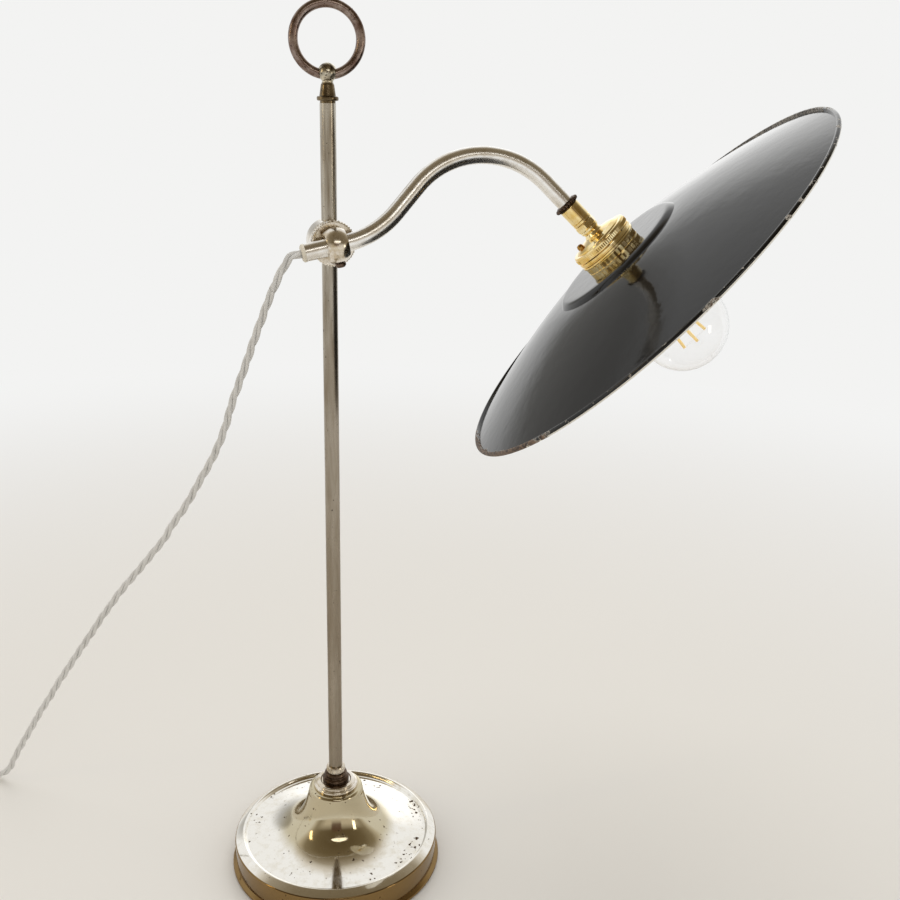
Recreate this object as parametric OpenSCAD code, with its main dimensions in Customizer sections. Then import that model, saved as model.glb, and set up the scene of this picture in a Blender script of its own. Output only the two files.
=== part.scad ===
// Desk lamp: weighted base, column with a sliding swan-neck arm, enamelled shade, bayonet bulb, twisted flex

/* [Base] */
// Diameter over the bead at the foot of the base
base_d = 156; // [140:1:190]
// Height of the rim's inner edge above the table
base_rim_z = 25.6; // [24:0.2:30]
// Height of the flat top of the bell
bell_top_z = 61.5; // [52:0.5:80]
// Thickness of the spun sheet
base_sheet = 1; // [0.8:0.1:1.4]
// Height of the iron weight's plate
weight_h = 13; // [8:0.5:15]

/* [Column] */
// Outer diameter of the column
column_d = 10; // [8:0.5:12]
// Wall of the column's tube
column_wall = 1.25; // [1:0.05:1.6]
// Height of the column's upper end above the table
column_top_z = 548; // [500:1:650]
// Diameter of the carrying ring along the middle of its wire
ring_d = 40.6; // [34:0.2:52]
// Diameter of the ring's wire
ring_wire_d = 5.8; // [4.6:0.2:6.4]
// Diameter of the finial's ball
ball_d = 11.6; // [11:0.2:14]

/* [Clamp] */
// Height of the clamp's screw above the table
arm_z = 465; // [380:1:480]
// Diameter of the drum that slides on the column
drum_d = 27.6; // [25:0.2:34]
// Diameter over the thumb wheel's knurls
wheel_d = 28.6; // [26:0.2:36]
// Distance of the arm's axis in front of the column's axis
arm_out = 24; // [23.6:0.1:30]
// Diameter of the ball that holds the arm
eye_d = 22; // [20:0.2:23]

/* [Arm] */
// Outer diameter of the arm's tube
arm_d = 11; // [10:0.2:12]
// Wall of the arm's tube
arm_wall = 1; // [0.8:0.05:1.2]
// Rise of the arm's straight end towards the shade, in degrees
arm_rise = 12.44; // [0:0.02:25]
// Roll of the swan neck about its straight end, in degrees
arm_roll = -15.16; // [-30:0.02:30]
// Radius of the swan neck's first bend
lower_bend_r = 60.5; // [50:0.5:90]
// Radius of the swan neck's crown
crown_bend_r = 57; // [40:1:80]
// Angle at which the arm climbs to its crown
climb = 36; // [25:1:45]
// Angle at which the arm points down at the lampholder
droop = 58; // [40:1:75]

/* [Lampholder] */
// Diameter over the lampholder's knurled cap ring
cap_ring_d = 42; // [39:0.5:48]
// Outer diameter of the lampholder's threaded body
holder_d = 28.4; // [27.6:0.1:30]
// Flutes round the upper shade ring
flutes = 36; // [20:1:60]

/* [Shade] */
// Diameter of the shade over its rolled rim
shade_d = 308; // [200:1:360]
// Depth of the shade from its flat top to the rim's plane
shade_depth = 27; // [15:1:60]
// Diameter of the flat top
shade_top_d = 98; // [70:1:120]
// Thickness of the enamelled steel
shade_sheet = 1; // [0.8:0.1:1.5]

/* [Bulb] */
// Diameter of the bulb's globe
bulb_d = 60; // [45:1:70]
// Length of the bulb from its cap's contacts to its tip
bulb_l = 104; // [95:1:120]

/* [Flex] */
// Diameter over the flex
flex_d = 5.4; // [4:0.1:5.6]
// Turns of the put-away coil, in two layers
coil_turns = 5.3; // [4.3:1:6.3]

/* [Hidden] */
$fn = 64;

// Radial play of a pin, a thread or a sliding tube in its hole
fit = 0.05;
// Play of an inner piece that is only dropped in
loose = 0.1;
// Clear distance between pieces that move past each other
run = 0.5;
// How far a straight leg of a bent tube laps into the bend beside it, and how much thinner it is
lap = 0.8;
hair = 0.02;

base_r = base_d / 2;
base_bead_r = 1.7;
base_lift = 0.3;
rim_r = base_r - 2.1;
rim_edge_z = base_rim_z - 4.6;
rim_inner_r = rim_r - 6.9;
well_z = base_rim_z - 5.6;
bell_neck_r = 20;
bell_neck_drop = 3.2;
bell_power = 2.5;
baize_t = 1.5;
weight_r = base_r - 6;
weight_seat_r = rim_inner_r - 7;
nut_recess_r = 13;
nut_recess_z = 9;
washer_t = 1.2;
nut_t = 4;
nut_d = 19.6;

column_r = column_d / 2;
column_bore_r = column_r - column_wall;
column_foot_z = 3;
seat_ring_h = 5;
seat_dip = 0.8;
foot_collar_h = 8;
foot_lock_h = 5;
spigot_l = 12;
ball_r = ball_d / 2;
ball_z = column_top_z + 17.7;
ring_r = ring_d / 2;
wire_r = ring_wire_d / 2;
ring_turn = -8;
ring_sink = wire_r;
ring_z = ball_z - 1.3 + ring_r;
ring_gap = asin(ring_sink / ring_r);

drum_r = drum_d / 2;
drum_back = 10;
drum_front = 9.6;
drum_cavity_r = column_r + 2.5;
drum_wall = 1.2;
cap_plug_t = 2;
shank_r = 3;
shank_hole_r = shank_r + 0.3;
shank_tip = column_r + 0.6;
washer_r = 9;
clamp_washer_t = 1;
wheel_back = drum_front + clamp_washer_t + loose;
wheel_t = 5.7;
wheel_r = wheel_d / 2;
eye_r = eye_d / 2;
eye_half = 6.5;
lock_screw_r = 2;
lock_head_r = 3.4;

arm_r = arm_d / 2;
arm_bore_r = arm_r - arm_wall;
stub_out = 20;
stub_in = 6.6;
climb_run = 21.1;
holder_run = 18.2;
tube_past_collar = 3.6;
bush_flange_t = 1.3;
bush_nose_t = 1;
bush_plug_l = 10;

// Stations along the lampholder's axis, counted from the end of the arm
sleeve_w = tube_past_collar + fit;
sleeve_end_w = 17;
nut_w = 17.2;
nut_end_w = 21.7;
cap_w = 21.9;
screw_seat_w = cap_w + 6.7;
body_w = 30.2;
cap_end_w = 35.7;
middle_w = 36.4;
upper_ring_w = 41.2;
shade_w = 46;
lower_ring_w = shade_w + shade_sheet;
ring_h = 4.8;
body_end_w = 66;
ledge_w = 38;
bulb_w = 40;
bulb_cap_end_w = 66;
pin_w = 55.4;
pin_turn = 23;
slot_turn = 30;
nipple_r = arm_bore_r - loose;
nipple_back = 9;
nipple_end_w = 27;
sleeve_r = nipple_r + 2.35;
lock_nut_r = nipple_r + 3.1;
cap_neck_r = nipple_r + 1;
screw_turn = 8;
screw_at = 12.6;
screw_r = 1;
screw_head_r = 2.2;
body_r = holder_d / 2;
body_bore_r = body_r - 2.6;
insulator_r = body_r - 1.7;
skirt_r = (body_r + cap_ring_d / 2) / 2 - 0.2;
plunger_at = 4.5;
plunger_r = 1.8;
bulb_cap_r = body_bore_r - 0.6;
bulb_neck_r = bulb_cap_r - 0.5;
shade_r = shade_d / 2;
shade_bead_r = 1.6;
shade_top_r = shade_top_d / 2;
shade_step = 3;
shade_power = 1.3;
globe_r = bulb_d / 2;
tip_w = bulb_w + bulb_l;
globe_w = tip_w - globe_r;
glass_t = 1;
// Ends of the filaments, as their distance from the axis and their station
filament_low = [5, bulb_w + 50];
filament_high = [9, bulb_w + 86];
filament_turn = 20;
filament_r = 1;
support_r = 0.4;

flex_r = flex_d / 2;
core_r = flex_r - 0.1;
flex_sides = 10;
wind_sides = 6;
wind_steps = 24;
wind_pitch = flex_d + 0.5;
wind_r = 40;
wind_z = 3.4;
wind_centre = [-325, 150];
wind_start = 68;
tie_t = 0.6;
tie_w = 7;
tie_at = 230;

// The run of the flex from the arm's end down to the table, and the tail from the coil to the plug
run_points = [
    [-29, -24, 458], [-35, -21, 447], [-41, -16, 432], [-45, -10, 419], [-50, -5, 404], [-54, 1, 390],
    [-59, 5, 375], [-64, 9, 360], [-68, 13, 345], [-73, 17, 330], [-79, 21, 316], [-86, 26, 302],
    [-92, 32, 289], [-99, 37, 276], [-106, 43, 264], [-112, 48, 252], [-120, 54, 240], [-128, 60, 228],
    [-136, 67, 216], [-144, 74, 204], [-152, 80, 191], [-160, 86, 178], [-167, 92, 165], [-175, 99, 151],
    [-183, 105, 137], [-191, 111, 123], [-199, 117, 109], [-206, 123, 95], [-214, 129, 81], [-221, 135, 67],
    [-228, 141, 53], [-235, 147, 39], [-241, 151, 27], [-247, 156, 14], [-255, 162, 6], [-264, 169, 3],
    [-278, 176, 3], [-292, 181, 3]
];
tail_points = [
    [-365, 138, 8.5], [-363, 128, 7], [-359, 117, 5.5], [-353, 106, 5], [-348, 96, 6.5], [-346, 88, 8.6]
];
plug_at = [-346, 56];
plug_half = 26;
plug_cover_h = 14;
plug_base_h = 5;
plug_cord_z = 9.3;
plug_hole_l = 6;
pin_spacing = 22.23;
pin_seat = 3;
pin_line = 9;

function unit(v) = v / norm(v);

function xy(p) = [p[0], p[1]];

function shortest(turn) = (turn + 900) % 360 - 180;

function arc_points(centre, radius, from, to, steps) =
    [for (k = [0:steps]) let (a = from + (to - from) * k / steps) centre + radius * [cos(a), sin(a)]];

// The round that replaces corner b between its neighbours a and c
function corner(a, b, c, radius, steps) =
    let (
        u = unit(a - b), v = unit(c - b), half = acos(u * v) / 2,
        centre = b + unit(u + v) * radius / sin(half),
        p = b + u * radius / tan(half) - centre,
        q = b + v * radius / tan(half) - centre,
        from = atan2(p[1], p[0]),
        turn = shortest(atan2(q[1], q[0]) - from)
    ) arc_points(centre, radius, from, from + turn, steps);

// An outline of corners [x, y, radius], where radius 0 stays sharp
function rounded(corners, steps = 5) =
    let (n = len(corners))
    [for (i = [0:n - 1]) let (c = corners[i], before = corners[(i + n - 1) % n], after = corners[(i + 1) % n])
        each (c[2] == 0 ? [xy(c)] : corner(xy(before), xy(c), xy(after), c[2], steps))];

function left_of(path, i) =
    let (t = unit(path[min(i + 1, len(path) - 1)] - path[max(i - 1, 0)])) [-t[1], t[0]];

// A sheet of even wall whose outer face follows the path, with the wall on its left
function sheet(path, wall) =
    concat(path, [for (i = [len(path) - 1:-1:0]) path[i] + wall * left_of(path, i)]);

module turned(outline) {
    rotate_extrude() polygon(outline);
}

// A disc whose edge has pointed teeth, as knurling has
module toothed(radius, depth, teeth, height) {
    step = 180 / teeth;
    linear_extrude(height)
        polygon([for (k = [0:2 * teeth - 1]) (radius - (k % 2) * depth) * [cos(k * step), sin(k * step)]]);
}

// A tube or bar along +X: legs [length, 0] run straight, legs [radius, turn] bend, up for a positive turn.
// A straight leg laps into the bends beside it and is a hair thinner, so that the two join as one solid.
module swept(legs, radius, bore, k = 0) {
    if (k < len(legs)) {
        leg = legs[k];
        up = leg[1] >= 0 ? 0 : 1;
        turn = abs(leg[1]);
        lap_in = k > 0 ? lap : 0;
        lap_out = k < len(legs) - 1 ? lap : 0;
        if (turn == 0) {
            translate([-lap_in, 0, 0]) rotate([0, 90, 0]) linear_extrude(lap_in + leg[0] + lap_out)
                section(radius - hair, bore > 0 ? bore + hair : 0);
            translate([leg[0], 0, 0]) swept(legs, radius, bore, k + 1);
        } else {
            mirror([0, 0, up]) translate([0, 0, leg[0]]) rotate([90, 0, 0]) rotate([0, 0, -90])
                rotate_extrude(angle = turn) translate([leg[0], 0]) section(radius, bore);
            translate([leg[0] * sin(turn), 0, (1 - 2 * up) * leg[0] * (1 - cos(turn))])
                rotate([0, -leg[1], 0]) swept(legs, radius, bore, k + 1);
        }
    }
}

module section(radius, bore) {
    difference() {
        circle(r = radius);
        if (bore > 0) circle(r = bore);
    }
}

// Where the legs end: [x, z, heading]
function legs_end(legs, k = 0, x = 0, z = 0, heading = 0) =
    k == len(legs) ? [x, z, heading] :
    let (leg = legs[k], after = heading + leg[1], side = sign(leg[1]) * leg[0])
    leg[1] == 0
        ? legs_end(legs, k + 1, x + leg[0] * cos(heading), z + leg[0] * sin(heading), heading)
        : let (dx = side * (sin(after) - sin(heading)), dz = side * (cos(heading) - cos(after)))
            legs_end(legs, k + 1, x + dx, z + dz, after);

// The arm's legs, with its ends drawn out or back
function arm_legs(before, after) = [
    [stub_in + before, 0], [lower_bend_r, climb], [climb_run, 0], [crown_bend_r, -climb - droop],
    [holder_run + after, 0]
];
arm_end = legs_end(arm_legs(0, 0));

// Frame with its Z along the clamp's screw, away from the column
module at_clamp() {
    translate([0, 0, arm_z]) rotate([90, 0, 0]) children();
}

// Frame with its X along the arm's straight end
module at_stub() {
    translate([0, -arm_out, arm_z]) rotate([0, -arm_rise, 0]) children();
}

module at_arm() {
    at_stub() rotate([arm_roll, 0, 0]) children();
}

// Frame with its Z along the lampholder, away from the arm
module at_holder() {
    at_arm() translate([arm_end[0], 0, arm_end[1]]) rotate([0, 90 - arm_end[2], 0]) children();
}

stub_tip = stub_out + bush_flange_t + bush_nose_t;
stub_dir = [cos(arm_rise), 0, sin(arm_rise)];
flex_exit = [0, -arm_out, arm_z] - (stub_tip + fit) * stub_dir;

function base_curve(r) =
    well_z + (bell_top_z - bell_neck_drop - well_z) * pow(bell_neck_r / r, bell_power);

module base_shell() {
    bell_steps = 16;
    bell_out_r = rim_inner_r - 3;
    bell_in_r = bell_neck_r + 0.3;
    bell = [for (k = [0:bell_steps])
        let (r = bell_out_r * pow(bell_in_r / bell_out_r, k / bell_steps)) [r, base_curve(r)]];
    outer = concat(
        arc_points([base_r - base_bead_r, base_lift + base_bead_r], base_bead_r, -150, 70, 8),
        rounded([
            [rim_r - 0.6, 4.6, 0], [rim_r, rim_edge_z, 1.6], [rim_inner_r, base_rim_z, 1.6],
            [rim_inner_r - 1.4, well_z + 2.2, 0], [rim_inner_r - 2.2, base_curve(bell_out_r), 0]
        ]),
        bell,
        rounded([
            [bell_in_r, base_curve(bell_in_r) + 0.1, 0], [bell_neck_r - 0.6, bell_top_z, 2.4],
            [column_r + fit, bell_top_z, 0]
        ])
    );
    color("silver") turned(sheet(outer, base_sheet));
}

module base_weight() {
    seat_z = base_curve(weight_seat_r) - base_sheet - 0.4;
    color("dimgray") turned(rounded([
        [nut_recess_r, baize_t, 0], [weight_r, baize_t, 1], [weight_r, baize_t + weight_h, 3],
        [weight_seat_r, baize_t + weight_h, 1.2], [weight_seat_r, seat_z, 0.6],
        [weight_seat_r - 5, seat_z, 0.6], [weight_seat_r - 5, baize_t + weight_h, 1.2],
        [column_r + fit, baize_t + weight_h, 0], [column_r + fit, nut_recess_z, 0],
        [nut_recess_r, nut_recess_z, 0]
    ], 3));
}

module base_baize() {
    color("darkgreen") cylinder(r = weight_r + 2, h = baize_t);
}

module base_washer() {
    color("silver") translate([0, 0, nut_recess_z - washer_t]) difference() {
        cylinder(r = nut_recess_r - 2, h = washer_t);
        translate([0, 0, -1]) cylinder(r = column_r + fit, h = washer_t + 2);
    }
}

module base_nut() {
    color("goldenrod") translate([0, 0, nut_recess_z - washer_t - nut_t]) difference() {
        cylinder(d = nut_d, h = nut_t, $fn = 6);
        translate([0, 0, -1]) cylinder(r = column_r + fit, h = nut_t + 2);
    }
}

module seat_ring() {
    z = bell_top_z;
    r = column_r + fit;
    color("silver") turned(rounded([
        [r, z, 0], [16.2, z, 0.6], [16.2, z + 2.7, 1.2], [14.3, z + 3, 0.4],
        [14.3, z + seat_ring_h, 0.9], [11.4, z + seat_ring_h, 0], [10.6, z + seat_ring_h - seat_dip, 0],
        [r, z + seat_ring_h - seat_dip, 0]
    ]));
}

module foot_collar() {
    z = bell_top_z + seat_ring_h - seat_dip;
    r = column_r + fit;
    color("saddlebrown") turned(rounded([
        [r, z, 0], [9.7, z, 0.5], [9.7, z + 3.4, 1.2], [7.8, z + 4.6, 0.6], [8.4, z + 6.4, 0.8],
        [7.6, z + foot_collar_h, 0.4], [r, z + foot_collar_h, 0]
    ]));
}

module foot_lock_ring() {
    z = bell_top_z + seat_ring_h - seat_dip + foot_collar_h;
    r = column_r + fit;
    lip = 0.9;
    color("gray") difference() {
        union() {
            translate([0, 0, z])
                turned(rounded([[r - 1, 0, 0], [6.6, 0, 0.3], [6.6, lip, 0.3], [r - 1, lip, 0]]));
            translate([0, 0, z + lip]) toothed(6.8, 0.35, 30, foot_lock_h - 2 * lip);
            translate([0, 0, z + foot_lock_h - lip])
                turned(rounded([[r - 1, 0, 0], [6.6, 0, 0], [6.2, lip, 0.4], [r - 1, lip, 0]]));
        }
        cylinder(r = r, h = column_top_z);
    }
}

module column() {
    color("darkgray") translate([0, 0, column_foot_z]) difference() {
        cylinder(r = column_r, h = column_top_z - column_foot_z);
        translate([0, 0, -1]) cylinder(r = column_bore_r, h = column_top_z);
    }
}

// The ring's wire, from a start angle off its lowest point round to the same angle on the other side
module ring_wire(radius, gap) {
    translate([0, 0, ring_z]) rotate([0, 0, ring_turn]) rotate([90, 0, 0]) rotate([0, 0, gap - 90])
        rotate_extrude(angle = 360 - 2 * gap) translate([ring_r, 0]) circle(r = radius);
}

module finial() {
    z = column_top_z;
    color("dimgray") difference() {
        union() {
            turned(rounded([
                [0, z - spigot_l, 0], [column_bore_r - fit, z - spigot_l, 0.5], [column_bore_r - fit, z, 0],
                [column_r - 0.2, z, 0], [column_r - 0.2, z + 1.3, 0], [column_r + 1.7, z + 1.5, 0.9],
                [column_r + 1.7, z + 3.9, 0.9], [column_r + 0.05, z + 4.2, 0.3],
                [column_r - 0.9, z + 10.6, 0.8], [3.4, z + 12, 0.4], [3.4, z + 14, 0], [0, z + 14, 0]
            ]));
            translate([0, 0, ball_z]) sphere(r = ball_r);
        }
        ring_wire(wire_r + fit, ring_gap - 0.2);
    }
}

module carrying_ring() {
    color("dimgray") ring_wire(wire_r, ring_gap);
}

module slider_drum() {
    color("silver") difference() {
        at_clamp() translate([0, 0, -drum_back]) turned(rounded([
            [0, 0, 0], [drum_r - 0.6, 0, 1.4], [drum_r, 4, 0], [drum_r, drum_back + drum_front, 1],
            [0, drum_back + drum_front, 0]
        ]));
        at_clamp() translate([0, 0, -drum_back - 1])
            cylinder(r = drum_cavity_r, h = drum_back + 1 + drum_front - drum_wall);
        at_clamp() cylinder(r = shank_hole_r, h = drum_front + 1);
        translate([0, 0, arm_z - drum_r - 1]) cylinder(r = column_r + fit, h = drum_d + 2);
    }
}

module drum_cap() {
    color("silver") at_clamp() translate([0, 0, -drum_back]) turned(rounded([
        [0, -2.2, 0], [6, -1.6, 4], [drum_cavity_r + 2, 0, 0], [drum_cavity_r - fit, 0, 0],
        [drum_cavity_r - fit, cap_plug_t, 0], [0, cap_plug_t, 0]
    ]));
}

module draw_eye() {
    back = -drum_back + cap_plug_t + 0.4;
    front = drum_front - drum_wall - 0.2;
    color("goldenrod") difference() {
        at_clamp() translate([0, 0, back]) cylinder(r = drum_cavity_r - loose, h = front - back);
        at_clamp() cylinder(r = shank_r + fit, h = front + 1);
        translate([0, 0, arm_z - drum_r]) cylinder(r = column_r + fit, h = drum_d);
    }
}

module clamp_washer() {
    color("gray") at_clamp() translate([0, 0, drum_front]) difference() {
        cylinder(r = washer_r, h = clamp_washer_t);
        translate([0, 0, -1]) cylinder(r = shank_hole_r, h = clamp_washer_t + 2);
    }
}

module thumb_wheel() {
    lip = 0.9;
    color("gray") at_clamp() difference() {
        union() {
            translate([0, 0, wheel_back]) turned(rounded([
                [0, 0, 0], [wheel_r - 0.6, 0, 0.5], [wheel_r - 0.6, lip, 0], [0, lip, 0]
            ]));
            translate([0, 0, wheel_back + lip]) toothed(wheel_r, 0.7, 48, wheel_t - 2 * lip);
            translate([0, 0, wheel_back + wheel_t - lip]) turned(rounded([
                [0, 0, 0], [wheel_r - 0.6, 0, 0], [wheel_r - 1, lip, 0.5], [0, lip, 0]
            ]));
        }
        translate([0, 0, arm_out]) sphere(r = eye_r + run);
        cylinder(r = shank_r + fit, h = arm_out);
    }
}

module arm_eye() {
    color("peru") at_stub() difference() {
        union() {
            intersection() {
                sphere(r = eye_r);
                rotate([0, 90, 0]) cylinder(r = eye_r + 1, h = 2 * eye_half, center = true);
            }
            rotate([-90, 0, 0]) cylinder(r = shank_r, h = arm_out - shank_tip);
        }
        rotate([0, 90, 0]) cylinder(r = arm_r + fit, h = 3 * eye_r, center = true);
        rotate([180, 0, 0]) cylinder(r = lock_screw_r + fit, h = eye_r + 1);
    }
}

module arm_lock_screw() {
    seat = eye_r + fit;
    point = arm_r + loose;
    color("dimgray") at_stub() rotate([180, 0, 0]) difference() {
        turned(rounded([
            [0, point, 0], [lock_screw_r, point, 0], [lock_screw_r, seat, 0],
            [lock_head_r, seat, 0.3], [lock_head_r, seat + 1.4, 0.6],
            [lock_head_r - 1, seat + 2.6, 0.8], [0, seat + 2.8, 0]
        ]));
        translate([-5, -0.45, seat + 1.6]) cube([10, 0.9, 3]);
    }
}

module arm_tube() {
    color("silver") at_arm() translate([-stub_out, 0, 0])
        swept(arm_legs(stub_out, tube_past_collar), arm_r, arm_bore_r);
}

module cord_bush() {
    color("antiquewhite") at_arm() rotate([0, -90, 0]) turned(rounded([
        [core_r + fit, stub_out - bush_plug_l, 0], [arm_bore_r - fit, stub_out - bush_plug_l, 0.4],
        [arm_bore_r - fit, stub_out, 0], [arm_r + 0.1, stub_out, 0.3],
        [arm_r + 0.1, stub_out + bush_flange_t, 0.4], [arm_bore_r, stub_tip, 0.4], [core_r + fit, stub_tip, 0]
    ], 3));
}

module inner_flex() {
    color("lightgray") at_arm() translate([-stub_tip, 0, 0])
        swept(arm_legs(stub_tip, nipple_end_w), core_r, 0);
}

module arm_end_collar() {
    r = arm_r + fit;
    color("saddlebrown") at_holder() turned(rounded([
        [r, 0, 0], [r + 1.4, 0, 0.4], [r + 3.25, 1, 0.5], [r + 3.25, 2.7, 0.5],
        [r + 1.8, tube_past_collar, 0.4], [r, tube_past_collar, 0]
    ], 4));
}

module nipple() {
    color("goldenrod") at_holder() translate([0, 0, -nipple_back]) difference() {
        cylinder(r = nipple_r, h = nipple_back + nipple_end_w);
        translate([0, 0, -1]) cylinder(r = core_r + 0.2, h = nipple_back + nipple_end_w + 2);
    }
}

module coupling_sleeve() {
    r = nipple_r + fit;
    groove = 0.4;
    color("gold") at_holder() turned(rounded([
        [r, sleeve_w, 0], [sleeve_r, sleeve_w, 0.4], [sleeve_r, sleeve_end_w - 2.4, 0],
        [sleeve_r - groove, sleeve_end_w - 2.1, 0], [sleeve_r, sleeve_end_w - 1.8, 0],
        [sleeve_r, sleeve_end_w, 0.4], [r, sleeve_end_w, 0]
    ], 3));
}

module lock_nut() {
    h = nut_end_w - nut_w;
    worn_r = lock_nut_r - 0.2;
    face_r = lock_nut_r - 0.9;
    color("gold") at_holder() difference() {
        translate([0, 0, nut_w]) intersection() {
            cylinder(r = lock_nut_r, h = h, $fn = 6);
            turned([[0, 0], [face_r, 0], [worn_r, 0.8], [worn_r, h - 0.8], [face_r, h], [0, h]]);
        }
        cylinder(r = nipple_r + fit, h = nut_end_w + 1);
    }
}

module holder_cap() {
    r = nipple_r + fit;
    lip_r = cap_neck_r + 1.1;
    color("gold") at_holder() difference() {
        turned(rounded([
            [r, cap_w, 0], [lip_r, cap_w, 0.3], [lip_r, cap_w + 1.6, 0.7], [cap_neck_r, cap_w + 3.2, 0.9],
            [cap_neck_r + 1.4, cap_w + 5.4, 1.2], [body_r - 0.6, cap_w + 6.8, 4],
            [skirt_r, cap_w + 8.7, 1.4], [skirt_r, cap_end_w, 0], [body_r + fit, cap_end_w, 0],
            [body_r + fit, body_w, 0], [cap_neck_r + 1.6, body_w - 1, 0], [r, cap_w + 6.2, 0]
        ], 4));
        rotate([0, 0, screw_turn]) translate([screw_at, 0, cap_w]) {
            cylinder(r = screw_r + fit, h = 9);
            cylinder(r = screw_head_r + fit, h = screw_seat_w - cap_w);
        }
    }
}

module cap_screw() {
    color("saddlebrown") at_holder() rotate([0, 0, screw_turn]) translate([screw_at, 0, 0]) difference() {
        turned(rounded([
            [0, screw_seat_w - 3.2, 0], [1.6, screw_seat_w - 2.8, 0.6],
            [screw_head_r, screw_seat_w - 1.6, 0.5], [screw_head_r, screw_seat_w, 0],
            [screw_r, screw_seat_w, 0], [screw_r, body_w - 0.4, 0], [0, body_w - 0.4, 0]
        ], 3));
        translate([-3, -0.3, screw_seat_w - 4]) cube([6, 0.6, 1.4]);
    }
}

module cap_ring() {
    r = cap_ring_d / 2;
    h = cap_end_w - body_w - 0.8;
    collar_h = 1.7;
    color("gold") at_holder() translate([0, 0, body_w + 0.8]) difference() {
        union() {
            turned(rounded([[0, 0, 0], [r - 0.4, 0, 1], [r - 0.3, collar_h, 0], [0, collar_h, 0]]));
            translate([0, 0, collar_h]) toothed(r, 0.35, 90, h - collar_h - 0.6);
            translate([0, 0, h - 0.6]) cylinder(r = r - 0.4, h = 0.6);
        }
        translate([0, 0, -1]) cylinder(r = skirt_r + fit, h = h + 2);
    }
}

module middle_ring() {
    r = body_r + loose;
    out_r = cap_ring_d / 2 - 0.2;
    color("gold") at_holder() turned(rounded([
        [r, middle_w, 0], [out_r, middle_w, 0.5], [out_r, middle_w + 1.7, 0],
        [out_r - 0.7, middle_w + 2.1, 0], [out_r - 0.7, middle_w + 2.6, 0],
        [out_r, middle_w + 3, 0], [out_r, middle_w + 4.6, 0.5], [r, middle_w + 4.6, 0]
    ], 3));
}

module shade_ring_upper() {
    r = cap_ring_d / 2 - 1.1;
    h = shade_w - upper_ring_w;
    color("gold") at_holder() translate([0, 0, upper_ring_w]) difference() {
        union() {
            cylinder(r = r - 0.3, h = 0.6);
            translate([0, 0, 0.6]) toothed(r, 0.9, flutes, h - 1.2);
            translate([0, 0, h - 0.6]) cylinder(r = r + 0.1, h = 0.6);
        }
        translate([0, 0, -1]) cylinder(r = body_r + loose, h = h + 2);
    }
}

module shade_ring_lower() {
    r = cap_ring_d / 2 - 2;
    color("gold") at_holder() translate([0, 0, lower_ring_w]) difference() {
        union() {
            cylinder(r = r + 0.6, h = 1.2);
            translate([0, 0, 1.2]) toothed(r, 0.9, flutes, ring_h - 1.2);
        }
        translate([0, 0, -1]) cylinder(r = body_r + loose, h = ring_h + 2);
    }
}

module shade() {
    rim_in_r = shade_r - shade_bead_r;
    rim_w = shade_w + shade_depth;
    start_r = shade_top_r;
    steps = 20;
    drop = shade_depth - shade_step;
    flat = rounded([
        [body_r + 0.4, shade_w, 0], [shade_top_r - shade_step, shade_w, 2],
        [shade_top_r - 0.6, shade_w + shade_step - 0.6, 0]
    ], 4);
    dish = [for (k = [0:steps]) let (s = k / steps)
        [start_r + (rim_in_r - 1.2 - start_r) * s, shade_w + shade_step + drop * pow(s, shade_power)]];
    top = concat(flat, dish);
    bead = arc_points([rim_in_r, rim_w], shade_bead_r, -110, 170, 12);
    color("black") at_holder() turned(concat(
        top, bead, [for (k = [len(top) - 1:-1:0]) top[k] + [0, shade_sheet]]
    ));
}

module holder_body() {
    slot = 2.8;
    color("gold") at_holder() difference() {
        translate([0, 0, body_w]) cylinder(r = body_r, h = body_end_w - body_w);
        translate([0, 0, body_w - 1]) cylinder(r = insulator_r + 0.3, h = ledge_w - body_w + 1);
        translate([0, 0, ledge_w - 1]) cylinder(r = body_bore_r, h = body_end_w);
        for (side = [0, 180]) rotate([0, 0, side]) {
            translate([body_bore_r - 1, -slot / 2, pin_w - slot / 2]) cube([5, slot, body_end_w]);
            translate([0, 0, pin_w - slot / 2]) rotate([0, 0, -slot_turn])
                rotate_extrude(angle = slot_turn) translate([body_bore_r - 1, 0]) square([5, slot]);
        }
    }
}

module insulator() {
    color("saddlebrown") at_holder() difference() {
        translate([0, 0, body_w + 0.8]) cylinder(r = insulator_r, h = ledge_w - body_w - 0.8);
        for (side = [-1, 1]) translate([side * plunger_at, 0, body_w]) cylinder(r = plunger_r + fit, h = 9);
    }
}

module contact_plungers() {
    foot_w = body_w + 1.5;
    color("goldenrod") at_holder() for (side = [-1, 1]) translate([side * plunger_at, 0, foot_w])
        cylinder(r = plunger_r, h = bulb_w - foot_w - fit);
}

module bulb_cap() {
    color("silver") at_holder() union() {
        difference() {
            translate([0, 0, bulb_w]) cylinder(r = bulb_cap_r, h = bulb_cap_end_w - bulb_w);
            translate([0, 0, bulb_w + 1]) cylinder(r = bulb_cap_r - 0.4, h = bulb_cap_end_w);
        }
        for (side = [0, 180]) rotate([0, 0, side - pin_turn]) translate([bulb_cap_r - 0.2, 0, pin_w])
            rotate([0, 90, 0]) cylinder(r = 1.1, h = 2.6);
    }
}

// The globe with its neck, blown in one piece and open at the cap
module bulb_glass() {
    foot = [bulb_neck_r + 1.2, bulb_cap_end_w + 5];
    reach = norm(foot - [0, globe_w]);
    lean = asin(globe_r / reach) - atan2(foot[0], globe_w - foot[1]);
    touch = foot + sqrt(reach * reach - globe_r * globe_r) * [sin(lean), cos(lean)];
    color("lightyellow", 0.4) at_holder() turned(sheet(concat(
        rounded([
            [bulb_neck_r, bulb_cap_end_w - 8, 0], [bulb_neck_r, bulb_cap_end_w, 3],
            [foot[0], foot[1], 12], [touch[0], touch[1], 0]
        ], 4),
        arc_points([0, globe_w], globe_r, atan2(touch[1] - globe_w, touch[0]) + 6, 89.4, 20)
    ), glass_t));
}

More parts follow.
